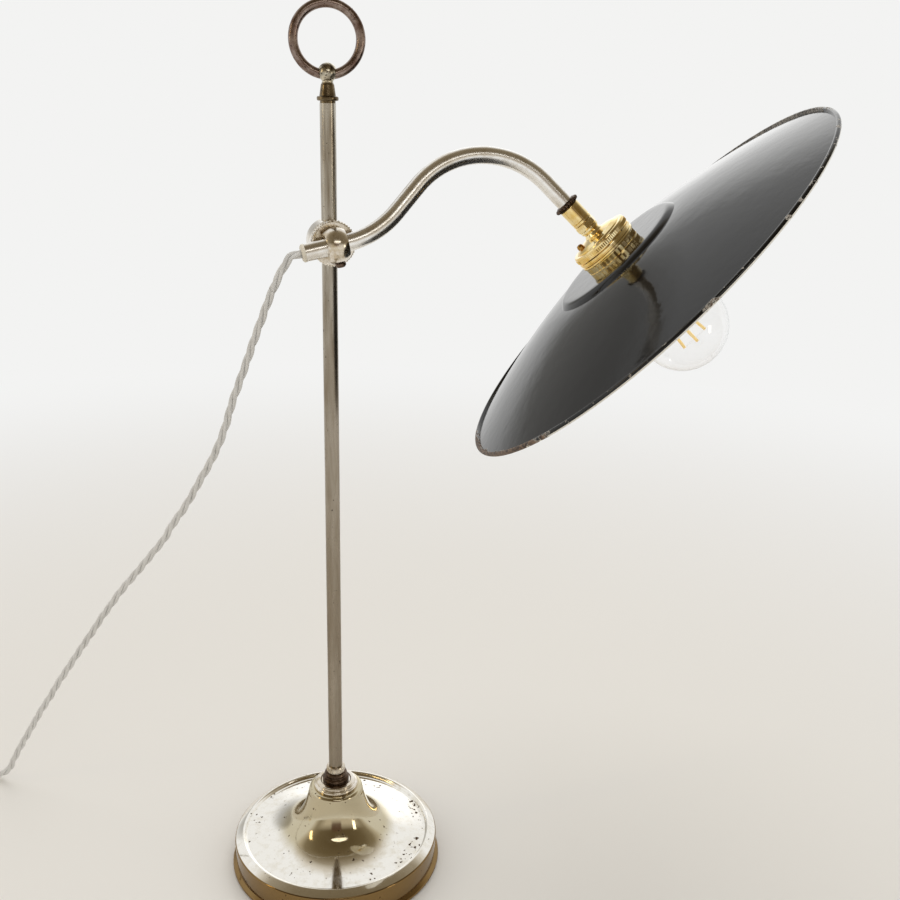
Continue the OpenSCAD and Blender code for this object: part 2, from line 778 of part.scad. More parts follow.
module bulb_stem() {
    foot_w = bulb_cap_end_w - 7.6;
    rod_w = filament_low[1];
    color("lightyellow") at_holder() union() {
        turned(rounded([
            [0, foot_w, 0], [bulb_neck_r - glass_t - 0.2, foot_w, 0], [4, foot_w + 9, 6],
            [2.6, rod_w - 6, 3], [2.6, rod_w + 1, 0.8], [0, rod_w + 1, 0]
        ]));
        translate([0, 0, foot_w]) cylinder(r = 0.8, h = filament_high[1] + 1 - foot_w);
        for (side = [0:90:270], end = [filament_low, filament_high])
            rotate([0, 0, side + filament_turn]) translate([0, 0, end[1]]) rotate([0, 90, 0])
                cylinder(r = support_r, h = end[0] - filament_r - 0.2);
    }
}

module bulb_filaments() {
    rise = filament_high[1] - filament_low[1];
    lean = atan2(filament_high[0] - filament_low[0], rise);
    color("orange") at_holder() for (side = [0:90:270]) rotate([0, 0, side + filament_turn])
        translate([filament_low[0], 0, filament_low[1]]) rotate([0, lean, 0])
            cylinder(r = filament_r, h = rise / cos(lean));
}

// Rings of a tube along a path, square to it at both ends
function tube_points(path, radius, sides) =
    let (last = len(path) - 1)
    [for (i = [0:last]) let (
        t = unit(path[min(i + 1, last)] - path[max(i - 1, 0)]),
        across = unit(cross([0, 0, 1], t)), over = cross(t, across)
    ) for (k = [0:sides - 1]) let (a = 360 * (k + 0.5) / sides)
        path[i] + radius * (cos(a) * across + sin(a) * over)];

function tube_faces(rings, sides) = concat(
    [for (i = [0:rings - 2], k = [0:sides - 1]) let (a = i * sides + k, b = i * sides + (k + 1) % sides)
        each [[a, a + sides, b], [b, a + sides, b + sides]]],
    [for (k = [1:sides - 2]) [0, k, k + 1]],
    [for (k = [1:sides - 2], last = (rings - 1) * sides) [last, last + k + 1, last + k]]
);

module tube(path, radius, sides) {
    polyhedron(points = tube_points(path, radius, sides), faces = tube_faces(len(path), sides));
}

// The coil spirals in on its lower layer and out on its upper one, and climbs round its tightest half turn
function wind_level(turns_off) = min(max(0.5 + 2 * turns_off, 0), 1);

function wind_point(turns) =
    let (
        off = turns - coil_turns / 2,
        r = wind_r - wind_pitch * (coil_turns / 2 - abs(off)),
        a = wind_start + 360 * turns
    ) [wind_centre[0] + r * cos(a), wind_centre[1] + r * sin(a), wind_z + wind_pitch * wind_level(off)];

function wind_heading(turns) =
    let (a = wind_start + 360 * turns + 90) [cos(a), sin(a), 0];

wind_count = round(coil_turns * wind_steps);
wind_path = concat(
    [wind_point(0) - flex_d * wind_heading(0)],
    [for (k = [0:wind_count]) wind_point(coil_turns * k / wind_count)],
    [wind_point(coil_turns) + flex_d * wind_heading(coil_turns)]
);
wind_in = wind_path[0];
wind_out = wind_path[len(wind_path) - 1];

function path_length(path, k = 1) =
    k == len(path) ? 0 : norm(path[k] - path[k - 1]) + path_length(path, k + 1);

// Ends of both free stretches leave a diameter square to what they meet
run_path = concat(
    [flex_exit, flex_exit - flex_d * stub_dir], run_points,
    [wind_in - 2 * flex_d * wind_heading(0), wind_in]
);
plug_hole = [plug_at[0], plug_at[1] + plug_half - plug_hole_l + fit, plug_cord_z];
tail_path = concat(
    [wind_out, wind_out + flex_d * wind_heading(coil_turns)], tail_points,
    [plug_hole + [0, plug_hole_l, 0], plug_hole]
);

half_turn = wind_steps / 2;
echo(coil_self_gap = min([
    for (i = [0:len(wind_path) - half_turn - 1], j = [i + half_turn:len(wind_path) - 1])
        norm(wind_path[i] - wind_path[j]) - flex_d
]));
echo(flex_length = path_length(run_path) + path_length(wind_path) + path_length(tail_path));
echo(arm_end = arm_end, flex_exit = flex_exit);

module flex_run() {
    color("gainsboro") tube(run_path, flex_r, flex_sides);
}

module flex_coil() {
    color("gainsboro") tube(wind_path, flex_r, wind_sides);
}

module flex_tail() {
    color("gainsboro") tube(tail_path, flex_r, flex_sides);
}

module coil_tie() {
    inner_r = wind_r - wind_pitch * coil_turns / 2 + 1.1 - flex_r - 0.3;
    outer_r = wind_r + flex_r - 1.8;
    low_z = tie_t;
    high_z = wind_z + wind_pitch + flex_r + 0.3;
    middle = [(inner_r + outer_r) / 2, (low_z + high_z) / 2];
    half = [(outer_r - inner_r) / 2, (high_z - low_z) / 2];
    color("white") translate([wind_centre[0], wind_centre[1], 0]) rotate([0, 0, tie_at])
        translate([middle[0], tie_w / 2, middle[1]]) rotate([90, 0, 0]) linear_extrude(tie_w) difference() {
            tie_outline(half + [tie_t, tie_t], 3);
            tie_outline(half, 2.4);
        }
}

module tie_outline(half, round_r) {
    polygon(rounded([
        [-half[0], -half[1], round_r], [half[0], -half[1], round_r],
        [half[0], half[1], round_r], [-half[0], half[1], round_r]
    ]));
}

module plug_outline(inset) {
    s = 1 - inset / plug_half;
    polygon(s * rounded([
        [-14, plug_half, 5], [14, plug_half, 5], [23, 13, 9], [25, -16, 9], [14, -plug_half, 10],
        [-14, -plug_half, 10], [-25, -16, 9], [-23, 13, 9]
    ]));
}

module plug_cover() {
    color("white") translate([plug_at[0], plug_at[1], 0]) difference() {
        union() {
            linear_extrude(1) plug_outline(1.6);
            translate([0, 0, 1]) linear_extrude(1) plug_outline(0.6);
            translate([0, 0, 2]) linear_extrude(plug_cover_h - 2) plug_outline(0);
        }
        translate([0, plug_half + 1, plug_cord_z]) rotate([90, 0, 0])
            cylinder(r = flex_r + 0.2, h = plug_hole_l + 1);
    }
}

module plug_base() {
    top = plug_cover_h + plug_base_h;
    color("white") translate([plug_at[0], plug_at[1], 0]) difference() {
        union() {
            translate([0, 0, plug_cover_h]) linear_extrude(plug_base_h - 1) plug_outline(0.2);
            translate([0, 0, top - 1]) linear_extrude(1) plug_outline(1.2);
        }
        pin_shapes(top - pin_seat, fit);
        translate([0, 0, top - 2]) cylinder(r = 3.3, h = 3);
    }
}

// Live and neutral pins on one line, the longer earth pin across the middle
module pin_shapes(z, play) {
    for (side = [-1, 1]) translate([side * pin_spacing / 2, pin_line, z]) pin(6.35, 4, 17.7, play);
    translate([0, pin_line - pin_spacing, z]) pin(4, 8, 22.7, play);
}

module pin(width, depth, length, play) {
    linear_extrude(length + pin_seat) square([width + 2 * play, depth + 2 * play], center = true);
}

module plug_pins() {
    color("goldenrod") translate([plug_at[0], plug_at[1], plug_cover_h + plug_base_h])
        pin_shapes(-pin_seat, 0);
}

module plug_screw() {
    color("goldenrod") translate([plug_at[0], plug_at[1], plug_cover_h + plug_base_h - 2]) difference() {
        cylinder(r = 3.1, h = 1.6);
        translate([-4, -0.4, 1]) cube([8, 0.8, 2]);
    }
}

base_shell();
base_weight();
base_baize();
base_washer();
base_nut();
seat_ring();
foot_collar();
foot_lock_ring();
column();
finial();
carrying_ring();
slider_drum();
drum_cap();
draw_eye();
clamp_washer();
thumb_wheel();
arm_eye();
arm_lock_screw();
arm_tube();
cord_bush();
inner_flex();
arm_end_collar();
nipple();
coupling_sleeve();
lock_nut();
holder_cap();
cap_screw();
cap_ring();
middle_ring();
shade_ring_upper();
shade();
shade_ring_lower();
holder_body();
insulator();
contact_plungers();
bulb_cap();
bulb_glass();
bulb_stem();
bulb_filaments();
flex_run();
flex_coil();
flex_tail();
coil_tie();
plug_cover();
plug_base();
plug_pins();
plug_screw();
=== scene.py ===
# %% [markdown]
# # A desk lamp, piece by piece
# This notebook builds the looks of an old adjustable desk lamp: a spun base, a tube with a ring on top, a swan-neck
# arm on a clamp, a black enamelled shade, a bayonet bulb and a twisted flex. The model of its parts is loaded first,
# and everything made here stands in the same frame: metres, Z up, with the origin under the middle of the base.

# %% Load the lamp's parts
import math
import bpy
import bmesh
from mathutils import Matrix, Vector


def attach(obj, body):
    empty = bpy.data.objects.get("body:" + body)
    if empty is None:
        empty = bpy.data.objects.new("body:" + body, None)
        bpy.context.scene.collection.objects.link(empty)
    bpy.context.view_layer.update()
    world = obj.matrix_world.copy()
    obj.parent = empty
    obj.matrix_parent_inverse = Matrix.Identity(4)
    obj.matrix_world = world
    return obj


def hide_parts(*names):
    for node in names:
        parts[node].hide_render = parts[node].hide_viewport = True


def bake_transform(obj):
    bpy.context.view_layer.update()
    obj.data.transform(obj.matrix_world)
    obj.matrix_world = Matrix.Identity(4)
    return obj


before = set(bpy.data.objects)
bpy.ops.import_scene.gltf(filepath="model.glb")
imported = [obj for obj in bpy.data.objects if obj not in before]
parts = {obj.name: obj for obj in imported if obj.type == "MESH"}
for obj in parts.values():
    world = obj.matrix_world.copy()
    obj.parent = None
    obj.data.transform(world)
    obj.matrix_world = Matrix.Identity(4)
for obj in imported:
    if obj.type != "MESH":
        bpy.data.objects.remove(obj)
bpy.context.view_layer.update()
bpy.context.scene.view_settings.view_transform = "Standard"
MM = 0.001
print(len(parts), "parts loaded")

# %% [markdown]
# ## Camera
# The camera stands where the photographer stood. Its place, its tilt and a small roll were fitted to edges of the
# lamp whose sizes are known, so the render can be laid over the photograph.

# %% Camera
def look(at, turn_deg, tilt_deg, roll_deg, focal):
    camera = bpy.data.objects.new("photo_camera", bpy.data.cameras.new("photo_camera"))
    bpy.context.scene.collection.objects.link(camera)
    turn, tilt, roll = (math.radians(a) for a in (turn_deg, tilt_deg, roll_deg))
    forward = Vector((math.sin(turn) * math.cos(tilt), math.cos(turn) * math.cos(tilt), -math.sin(tilt)))
    right = Vector((math.cos(turn), -math.sin(turn), 0))
    up = right.cross(forward)
    right, up = right * math.cos(roll) + up * math.sin(roll), up * math.cos(roll) - right * math.sin(roll)
    camera.matrix_world = Matrix.Translation(at) @ Matrix((right, up, -forward)).transposed().to_4x4()
    camera.data.sensor_width = 36
    camera.data.lens = focal
    bpy.context.scene.camera = camera
    return camera


camera = look(Vector((-0.12205, -0.67196, 0.54599)), 17, 17.865, 1.377, 42.23)
print("camera at", tuple(round(v, 3) for v in camera.location))

# %% [markdown]
# ## Small helpers
# Colours are written as the hex codes that a paint program shows and turned into Blender's linear values in one
# place. `knot` adds one node to a material and fills its sockets, so that each material below reads as a recipe.

# %% Colour and node helpers
def paint(code, alpha=1.0):
    channels = [int(code[i:i + 2], 16) / 255 for i in (1, 3, 5)]
    return (*[c / 12.92 if c <= 0.04045 else ((c + 0.055) / 1.055) ** 2.4 for c in channels], alpha)


def knot(tree, kind, sockets=None, **settings):
    node = tree.nodes.new(kind)
    for key, value in settings.items():
        setattr(node, key, value)
    for key, value in (sockets or {}).items():
        if isinstance(value, bpy.types.NodeSocket):
            tree.links.new(value, node.inputs[key])
        else:
            node.inputs[key].default_value = value
    return node


def new_material(name):
    material = bpy.data.materials.new(name)
    material.use_nodes = True
    tree = material.node_tree
    return material, tree, tree.nodes["Principled BSDF"]


def ramp(tree, value, stops):
    node = knot(tree, "ShaderNodeValToRGB", {"Fac": value})
    points = node.color_ramp.elements
    while len(points) < len(stops):
        points.new(0.5)
    for point, (place, colour) in zip(points, stops):
        point.position = place
        point.color = paint(colour) if isinstance(colour, str) else (colour, colour, colour, 1)
    return node.outputs["Color"]


def cloud(tree, where, size_mm, detail=3.0, rough=0.55):
    """Noise whose blobs are about size_mm across."""
    return knot(tree, "ShaderNodeTexNoise", {
        "Vector": where, "Scale": 1000 / size_mm, "Detail": detail, "Roughness": rough}).outputs["Fac"]


def blend_colour(tree, amount, low, high):
    node = knot(tree, "ShaderNodeMix", {"Factor": amount}, data_type="RGBA")
    for index, colour in ((6, low), (7, high)):
        if isinstance(colour, bpy.types.NodeSocket):
            tree.links.new(colour, node.inputs[index])
        else:
            node.inputs[index].default_value = paint(colour)
    return node.outputs[2]


def sums(tree, operation, a, b):
    return knot(tree, "ShaderNodeMath", {0: a, 1: b}, operation=operation).outputs[0]


print("helpers ready")

# %% [markdown]
# ## Flex: the route
# The flex is fabric-covered, three cores twisted together, about 1.8 m long on a lamp like this. It leaves the open
# end of the arm, hangs down behind the column and crosses the table to the left. What the photograph doesn't show
# is put away as a flat coil of two layers with its plug beside it. The route is the one that the solid model has.

# %% Flex route
FLEX_D = 5.4 * MM
ARM_RISE = math.radians(12.44)
STUB = Vector((math.cos(ARM_RISE), 0, math.sin(ARM_RISE)))
FLEX_EXIT = Vector((0, -24, 465)) * MM - STUB * 22.35 * MM
HANG = [(-29, -24, 458), (-35, -21, 447), (-41, -16, 432), (-45, -10, 419), (-50, -5, 404), (-54, 1, 390),
        (-59, 5, 375), (-64, 9, 360), (-68, 13, 345), (-73, 17, 330), (-79, 21, 316), (-86, 26, 302),
        (-92, 32, 289), (-99, 37, 276), (-106, 43, 264), (-112, 48, 252), (-120, 54, 240), (-128, 60, 228),
        (-136, 67, 216), (-144, 74, 204), (-152, 80, 191), (-160, 86, 178), (-167, 92, 165), (-175, 99, 151),
        (-183, 105, 137), (-191, 111, 123), (-199, 117, 109), (-206, 123, 95), (-214, 129, 81), (-221, 135, 67),
        (-228, 141, 53), (-235, 147, 39), (-241, 151, 27), (-247, 156, 14), (-255, 162, 6), (-264, 169, 3),
        (-278, 176, 3), (-292, 181, 3)]
TAIL = [(-365, 138, 8.5), (-363, 128, 7), (-359, 117, 5.5), (-353, 106, 5), (-348, 96, 6.5), (-346, 88, 8.6)]
PLUG_AT = Vector((-346, 56, 0)) * MM
COIL_TURNS, COIL_R, COIL_PITCH, COIL_Z, COIL_START = 5.3, 40, 5.9, 3.4, 68
COIL_CENTRE = Vector((-325, 150, 0))


def coil_point(turns):
    off = turns - COIL_TURNS / 2
    r = COIL_R - COIL_PITCH * (COIL_TURNS / 2 - abs(off))
    a = math.radians(COIL_START + 360 * turns)
    level = COIL_Z + COIL_PITCH * min(max(0.5 + 2 * off, 0), 1)
    return (COIL_CENTRE + Vector((r * math.cos(a), r * math.sin(a), level))) * MM


def coil_heading(turns):
    a = math.radians(COIL_START + 360 * turns + 90)
    return Vector((math.cos(a), math.sin(a), 0))


coil_in = coil_point(0) - FLEX_D * coil_heading(0)
coil_out = coil_point(COIL_TURNS) + FLEX_D * coil_heading(COIL_TURNS)
plug_mouth = PLUG_AT + Vector((0, 20.05, 9.3)) * MM
route = [FLEX_EXIT, FLEX_EXIT - STUB * FLEX_D] + [Vector(p) * MM for p in HANG]
route += [coil_in - coil_heading(0) * FLEX_D, coil_in]
route += [coil_point(COIL_TURNS * k / 127) for k in range(128)]
route += [coil_out] + [Vector(p) * MM for p in TAIL] + [plug_mouth + Vector((0, 6, 0)) * MM, plug_mouth]
print("route of", len(route), "points")

# %% [markdown]
# A curve through the points, split into even steps, gives the centreline. At each step it carries a pair of side
# directions that turn as little as possible, so the twist laid on top of them is even.

# %% Even steps along the route
def smooth_line(points, step):
    line = []
    for i in range(len(points) - 1):
        p0, p1, p2, p3 = (points[min(max(i + k, 0), len(points) - 1)] for k in (-1, 0, 1, 2))
        pieces = max(2, round((p2 - p1).length / step))
        for k in range(pieces):
            t = k / pieces
            # centripetal-like tangents keep uneven spans from swinging out
            m1 = (p2 - p0) * (p2 - p1).length / max((p2 - p0).length, 1e-9)
            m2 = (p3 - p1) * (p2 - p1).length / max((p3 - p1).length, 1e-9)
            line.append((2 * t**3 - 3 * t**2 + 1) * p1 + (t**3 - 2 * t**2 + t) * m1
                        + (3 * t**2 - 2 * t**3) * p2 + (t**3 - t**2) * m2)
    return line + [points[-1]]


def even_line(points, step):
    out, left = [points[0]], step
    for a, b in zip(points, points[1:]):
        span = (b - a).length
        while span >= left:
            a = a + (b - a) * (left / span)
            out.append(a)
            span, left = (b - a).length, step
        left -= span
    return out + [points[-1]]


def side_directions(line):
    """For each point, its heading and a side direction that turns as little as possible."""
    headings = [(line[min(i + 1, len(line) - 1)] - line[max(i - 1, 0)]).normalized() for i in range(len(line))]
    side = headings[0].cross(Vector((0, 1, 0))).normalized()
    found = []
    for heading in headings:
        side = (side - heading * side.dot(heading)).normalized()
        found.append((heading, side))
    return found


line = even_line(smooth_line(route, 0.6 * MM), 1.2 * MM)
sides = side_directions(line)
flex_length = sum((b - a).length for a, b in zip(line, line[1:]))
print("centreline", round(flex_length, 4), "m in", len(line), "steps")

# %% [markdown]
# ## Flex: three twisted cores
# Each core is a tube whose middle goes round the centreline once every 40 mm. The twist is left-handed, as in the
# photograph. Every tube gets a UV map, round it and along it in millimetres, and the braid is painted by that map, so
# the weave follows the core round every bend.

# %% Twisted flex
CORE_R = 1.253 * MM
TWIST_R = 1.447 * MM
TWIST_PITCH = 40 * MM


def twisted(name, first, last, faces_round=12):
    rows, mesh = [], bmesh.new()
    uv = mesh.loops.layers.uv.new("along")
    for core in range(3):
        middle = []
        for i in range(first, last + 1):
            heading, side = sides[i]
            angle = 2 * math.pi * (core / 3 - i * 1.2 * MM / TWIST_PITCH)
            middle.append(line[i] + TWIST_R * (math.cos(angle) * side + math.sin(angle) * heading.cross(side)))
        rings = []
        out = (middle[0] - line[first]).normalized()
        for i, point in enumerate(middle):
            heading = (middle[min(i + 1, len(middle) - 1)] - middle[max(i - 1, 0)]).normalized()
            out = (out - heading * out.dot(heading)).normalized()
            over = heading.cross(out)
            rings.append([mesh.verts.new(point + CORE_R * (math.cos(a) * out + math.sin(a) * over))
                          for a in (2 * math.pi * k / faces_round for k in range(faces_round))])
        for i, (low, high) in enumerate(zip(rings, rings[1:])):
            for k in range(faces_round):
                face = mesh.faces.new((low[k], low[(k + 1) % faces_round], high[(k + 1) % faces_round], high[k]))
                face.smooth = True
                for loop, (du, dv) in zip(face.loops, ((0, 0), (1, 0), (1, 1), (0, 1))):
                    loop[uv].uv = ((k + du) / faces_round, (first + i + dv) * 1.2)
        mesh.faces.new(list(reversed(rings[0])))
        mesh.faces.new(rings[-1])
    data = bpy.data.meshes.new(name)
    mesh.to_mesh(data)
    mesh.free()
    piece = bpy.data.objects.new(name, data)
    bpy.context.scene.collection.objects.link(piece)
    return piece


NECK_STEPS, BUSH_STEPS = 26, 2
flex = twisted("flex", NECK_STEPS, len(line) - 1)
flex_neck = twisted("flex_neck", 0, NECK_STEPS)
print(len(flex.data.polygons), "faces on the flex")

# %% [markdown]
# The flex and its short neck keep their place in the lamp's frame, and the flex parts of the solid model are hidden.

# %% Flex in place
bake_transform(flex)
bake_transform(flex_neck)
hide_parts("flex_run", "flex_coil", "flex_tail")

# %% [markdown]
# ## Floor and light
# The floor is a wide pale sheet that keeps the lamp's shadow and fades into the white backdrop farther out. Metal
# mirrors its surroundings, so the world holds what a photographer's room has: a white backdrop behind and at the
# sides, a dull ceiling, and a dark warm room behind the camera. Those give the nickel its light and dark bands.

# %% Floor
bpy.ops.object.select_all(action="DESELECT")
bpy.ops.mesh.primitive_plane_add(size=12, location=(0, 0, 0))
floor = bpy.context.object
floor.name = "floor"
BACKDROP = "#F3F3F2"
floor_paint, tree, surface = new_material("pale_floor")
surface.inputs["Base Color"].default_value = paint("#E6E3DD")
surface.inputs["Roughness"].default_value = 0.7
distance = knot(tree, "ShaderNodeVectorMath", {
    0: knot(tree, "ShaderNodeTexCoord").outputs["Object"]}, operation="LENGTH").outputs["Value"]
far = knot(tree, "ShaderNodeMapRange", {"Value": distance, "From Min": 0.3, "From Max": 1.6},
           interpolation_type="SMOOTHSTEP").outputs["Result"]
path = knot(tree, "ShaderNodeLightPath")
looked_at = sums(tree, "MAXIMUM", path.outputs["Is Camera Ray"],
                 sums(tree, "MAXIMUM", path.outputs["Is Glossy Ray"], path.outputs["Is Transmission Ray"]))
backdrop = knot(tree, "ShaderNodeEmission", {"Color": paint(BACKDROP), "Strength": 1.0})
faded = knot(tree, "ShaderNodeMixShader", {
    "Fac": sums(tree, "MULTIPLY", far, looked_at), 1: surface.outputs["BSDF"], 2: backdrop.outputs[0]})
tree.links.new(faded.outputs[0], tree.nodes["Material Output"].inputs["Surface"])
floor.data.materials.append(floor_paint)

# %% World
world = bpy.data.worlds.new("white_room")
bpy.context.scene.world = world
world.use_nodes = True
tree = world.node_tree
tree.nodes.clear()
path = knot(tree, "ShaderNodeLightPath")
towards = knot(tree, "ShaderNodeTexCoord").outputs["Generated"]
split = knot(tree, "ShaderNodeSeparateXYZ", {"Vector": towards})
# dull and warm in front and overhead, white behind and at the sides
frontness = knot(tree, "ShaderNodeVectorMath", {0: towards, 1: (0, -0.755, 0.656)},
                 operation="DOT_PRODUCT").outputs["Value"]
walls = ramp(tree, frontness, [(0.1, BACKDROP), (0.22, "#D2CBBE"), (0.36, "#988D79"), (0.62, "#7A6D56"), (1.0, "#675941")])
# daylight at eye level behind the camera, with the photographer dark in front of it
level = knot(tree, "ShaderNodeMapRange", {
    "Value": sums(tree, "ABSOLUTE", split.outputs["Z"], 0.0), "From Min": 0.10, "From Max": 0.30,
    "To Min": 1.0, "To Max": 0.0}).outputs["Result"]
in_front = knot(tree, "ShaderNodeMapRange", {
    "Value": frontness, "From Min": 0.3, "From Max": 0.6}).outputs["Result"]
room = blend_colour(tree, sums(tree, "MULTIPLY", level, in_front), walls, "#D8D0C2")
sideways = knot(tree, "ShaderNodeVectorMath", {
    0: knot(tree, "ShaderNodeCombineXYZ", {"X": split.outputs["X"], "Y": split.outputs["Y"]}).outputs[0]},
    operation="NORMALIZE").outputs["Vector"]
figure = knot(tree, "ShaderNodeVectorMath", {0: sideways, 1: (-0.18, -0.984, 0)}, operation="DOT_PRODUCT").outputs["Value"]
figure = ramp(tree, figure, [(0.955, 0.0), (0.975, 0.85)])
standing = ramp(tree, split.outputs["Z"], [(0.02, 0.0), (0.12, 1.0), (0.25, 1.0), (0.4, 0.0)])
figure = sums(tree, "MULTIPLY", figure, standing)
room = blend_colour(tree, figure, room, "#5E4335")
# behind the lamp: a dim stretch of wall to the left and a window to the right
dim_wall = knot(tree, "ShaderNodeVectorMath", {0: towards, 1: (-0.25, 0.935, 0.25)}, operation="DOT_PRODUCT").outputs["Value"]
room = blend_colour(tree, ramp(tree, dim_wall, [(0.955, 0.0), (0.985, 0.85)]), room, "#A9A7A2")
window = knot(tree, "ShaderNodeVectorMath", {0: towards, 1: (0.34, 0.9, 0.27)}, operation="DOT_PRODUCT").outputs["Value"]
window = knot(tree, "ShaderNodeMapRange", {
    "Value": window, "From Min": 0.93, "From Max": 0.985, "To Min": 1.0, "To Max": 1.6}).outputs["Result"]
backdrop = knot(tree, "ShaderNodeBackground", {"Color": paint(BACKDROP), "Strength": 1.0})
mirrored = knot(tree, "ShaderNodeBackground", {"Color": room, "Strength": window})
unseen = knot(tree, "ShaderNodeBackground", {"Color": paint("#F6F4F1"), "Strength": 0.72})
lit = knot(tree, "ShaderNodeMixShader", {
    "Fac": path.outputs["Is Glossy Ray"], 1: unseen.outputs[0], 2: mirrored.outputs[0]})
white_for = sums(tree, "MAXIMUM", path.outputs["Is Camera Ray"], path.outputs["Is Transmission Ray"])
mixed = knot(tree, "ShaderNodeMixShader", {"Fac": white_for, 1: lit.outputs[0], 2: backdrop.outputs[0]})
knot(tree, "ShaderNodeOutputWorld", {"Surface": mixed.outputs[0]})


# %% Soft lamps
def soft_lamp(name, at, aim, size, watts, tint="#FFFFFF", mirrored=True, round_ends=False):
    data = bpy.data.lights.new(name, "AREA")
    data.shape, data.size, data.size_y = "ELLIPSE" if round_ends else "RECTANGLE", *size
    data.energy, data.color = watts, paint(tint)[:3]
    lamp = bpy.data.objects.new(name, data)
    bpy.context.scene.collection.objects.link(lamp)
    lamp.matrix_world = (Matrix.Translation(at)
                         @ (Vector(at) - Vector(aim)).to_track_quat("Z", "Y").to_matrix().to_4x4())
    lamp.visible_glossy = mirrored
    return lamp


soft_lamp("window_left", (-1.7, -0.15, 0.95), (0, 0, 0.2), (0.16, 0.7), 1.6, "#FFE3A8")
soft_lamp("window_right", (1.5, -1.5, 0.42), (0, 0, 0.2), (0.3, 0.55), 1.6, "#FFF6E6")
soft_lamp("strip_above_camera", (-0.05, -1.4, 1.26), (0.05, 0, 0.5), (1.2, 0.34), 2.0, "#FFFDF8", round_ends=True)
soft_lamp("ceiling", (0.3, 0.5, 2.1), (0, 0, 0), (1.4, 1.4), 14, mirrored=False)
print("lights on")

# %% [markdown]
# ## Metals
# All the lamp's metals are old and were made the same way: a bright metal, patches where the plate has worn thin and
# taken a tint, and small dark pits. One recipe with different colours and sizes gives each of them. Roughness
# follows the wear, so highlights break up where the surface is dull. On the base and the column the recipe also paints
# reflections into the colour.

# %% Worn metal recipe
def worn_metal(name, bright, tint, pit_colour, polish, dull, patch_mm=30, streak=(1, 1, 1), tint_at=(0.42, 0.66),
               pits=0.70, pit_mm=2.2, bump=0.05, band=None, stained_ring=None, reflection_by_radius=()):
    material, tree, surface = new_material(name)
    where = knot(tree, "ShaderNodeTexCoord").outputs["Object"]
    drawn = knot(tree, "ShaderNodeMapping", {"Vector": where, "Scale": streak}).outputs["Vector"]
    patches = cloud(tree, drawn, patch_mm, 5, 0.6)
    fine = cloud(tree, drawn, patch_mm / 7, 4, 0.6)
    place = knot(tree, "ShaderNodeSeparateXYZ", {"Vector": where})
    if band:
        # the colour changes with height, from z_from to z_to: on the column this is a painted reflection, on the finial
        # the ball is lighter than its neck
        z_from, z_to, other = band
        by_height = knot(tree, "ShaderNodeMapRange", {
            "Value": place.outputs["Z"], "From Min": z_from, "From Max": z_to}, interpolation_type="SMOOTHSTEP")
        bright = blend_colour(tree, by_height.outputs["Result"], bright, other)
    colour = blend_colour(tree, ramp(tree, patches, [(tint_at[0], 0.0), (tint_at[1], 1.0)]), bright, tint)
    colour = blend_colour(tree, ramp(tree, fine, [(0.48, 0.0), (0.72, 0.35)]), colour, tint)
    specks = cloud(tree, where, pit_mm, 2, 0.5)
    zones = sums(tree, "MULTIPLY", cloud(tree, where, 18, 2, 0.5), 0.28)
    if stained_ring:
        # marks gather in a ring round the column, where polish never quite reaches
        flat = knot(tree, "ShaderNodeCombineXYZ", {"X": place.outputs["X"], "Y": place.outputs["Y"]})
        from_axis = knot(tree, "ShaderNodeVectorMath", {0: flat.outputs[0]}, operation="LENGTH").outputs["Value"]
        inner, outer = stained_ring
        in_ring = ramp(tree, knot(tree, "ShaderNodeMapRange", {
            "Value": from_axis, "From Min": inner, "From Max": outer}).outputs["Result"],
            [(0.0, 0.0), (0.5, 1.0), (0.8, 1.0), (1.0, 0.0)])
        gathered = ramp(tree, cloud(tree, where, 40, 2), [(0.5, 0.0), (0.62, 0.12)])
        zones = sums(tree, "ADD", zones, sums(tree, "MULTIPLY", in_ring, gathered))
        # each is (radius it starts at, radius it is full at, colour): a painted reflection laid on by distance from the
        # axis
        for r_start, r_full, other in reflection_by_radius:
            reflection_tint = knot(tree, "ShaderNodeMapRange", {
                "Value": from_axis, "From Min": r_start, "From Max": r_full}, interpolation_type="SMOOTHSTEP")
            colour = blend_colour(tree, reflection_tint.outputs["Result"], colour, other)
    pitted = ramp(tree, sums(tree, "ADD", specks, zones),
                  [(min(pits + 0.14, 0.97), 0.0), (min(pits + 0.18, 1.0), 1.0)])
    colour = blend_colour(tree, pitted, colour, pit_colour)
    rough = knot(tree, "ShaderNodeMapRange", {
        "Value": fine, "From Min": 0.35, "From Max": 0.7, "To Min": polish, "To Max": dull}).outputs["Result"]
    rough = sums(tree, "ADD", rough, sums(tree, "MULTIPLY", pitted, 0.4))
    height = sums(tree, "SUBTRACT", sums(tree, "MULTIPLY", cloud(tree, drawn, 1.2, 3), 0.25), pitted)
    dents = knot(tree, "ShaderNodeBump", {"Height": height, "Strength": bump, "Distance": 0.0003})
    for socket, value in (("Base Color", colour), ("Roughness", rough), ("Normal", dents.outputs["Normal"])):
        tree.links.new(value, surface.inputs[socket])
    surface.inputs["Metallic"].default_value = 1.0
    return material
